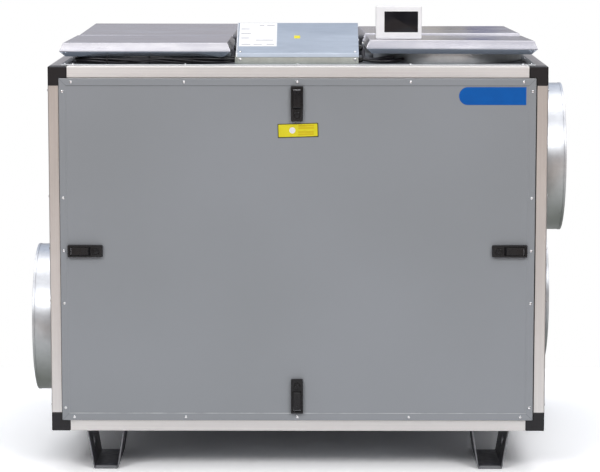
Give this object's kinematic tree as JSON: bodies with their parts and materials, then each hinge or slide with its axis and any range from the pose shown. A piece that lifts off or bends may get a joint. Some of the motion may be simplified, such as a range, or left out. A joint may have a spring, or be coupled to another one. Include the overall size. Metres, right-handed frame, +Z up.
{
  "type": "air handling unit",
  "caption": "Box-shaped air handling unit on bent sheet feet, with an aluminium frame, a latched front panel, round duct collars, square lids, a sloped control box and a touch panel.",
  "frame": {"origin": "on the floor, under the middle of the unit's bounding box", "axes": "+X to the right seen from the front, +Y to the back, +Z up; the latched front panel faces -Y"},
  "size_m": [1.427, 1.0543, 1.2333],
  "materials": {
    "anodised": "satin anodised extrusion",
    "corner": "moulded black nylon",
    "panel": "grey powder coat",
    "galvanised": "galvanised sheet",
    "control": "zinc-coated sheet",
    "black_plastic": "moulded black nylon",
    "conduit": "ribbed grey conduit",
    "rubber": "closed-cell gasket",
    "white_plastic": "moulded white plastic",
    "screen": "dark screen cover",
    "foot": "dark coated bent sheet"
  },
  "bodies": {
    "unit": {"back_panel": "panel", "bottom_panel": "panel", "cable_bundle": "black_plastic", "cable_right": "black_plastic", "collar_left_front": "galvanised", "collar_right_front": "galvanised", "collar_right_rear": "galvanised", "collar_top_left_front": "galvanised", "collar_top_left_rear": "galvanised", "collar_top_right_front": "galvanised", "collar_top_right_rear": "galvanised", "conduit_left": "conduit", "conduit_right": "conduit", "control_box": "control", "control_cover": "control", "corner_bottom_back_left": "corner", "corner_bottom_back_right": "corner", "corner_bottom_front_left": "corner", "corner_bottom_front_right": "corner", "corner_top_back_left": "corner", "corner_top_back_right": "corner", "corner_top_front_left": "corner", "corner_top_front_right": "corner", "door_gasket": "rubber", "foot_front_left": "foot", "foot_front_right": "foot", "foot_rear_left": "foot", "foot_rear_right": "foot", "front_panel": "panel", "latch_bottom": "black_plastic", "latch_left": "black_plastic", "latch_right": "black_plastic", "latch_top": "black_plastic", "left_panel": "panel", "lid_left_front": "galvanised", "lid_left_rear": "galvanised", "lid_right_front": "galvanised", "lid_right_rear": "galvanised", "post_back_left": "anodised", "post_back_right": "anodised", "post_front_left": "anodised", "post_front_right": "anodised", "rail_bottom_back": "anodised", "rail_bottom_front": "anodised", "rail_bottom_left": "anodised", "rail_bottom_right": "anodised", "rail_top_back": "anodised", "rail_top_front": "anodised", "rail_top_left": "anodised", "rail_top_right": "anodised", "right_panel": "panel", "top_panel": "panel", "touch_panel": "white_plastic", "touch_screen": "screen"},
    "lever_top": {"lever_top": "black_plastic"},
    "lever_bottom": {"lever_bottom": "black_plastic"},
    "lever_left": {"lever_left": "black_plastic"},
    "lever_right": {"lever_right": "black_plastic"}
  },
  "joints": [
    {"name": "top_lever_pivot", "type": "hinge", "parent": "unit", "child": "lever_top", "pos_m": [-0.0025, -0.52145, 1.019], "axis": [-1, 0, 0], "range_deg": [0, 80]},
    {"name": "bottom_lever_pivot", "type": "hinge", "parent": "unit", "child": "lever_bottom", "pos_m": [-0.0025, -0.52145, 0.171], "axis": [1, 0, 0], "range_deg": [0, 80]},
    {"name": "left_lever_pivot", "type": "hinge", "parent": "unit", "child": "lever_left", "pos_m": [-0.5955, -0.52145, 0.595], "axis": [0, 0, -1], "range_deg": [0, 80]},
    {"name": "right_lever_pivot", "type": "hinge", "parent": "unit", "child": "lever_right", "pos_m": [0.5925, -0.52145, 0.595], "axis": [0, 0, 1], "range_deg": [0, 80]}
  ]
}
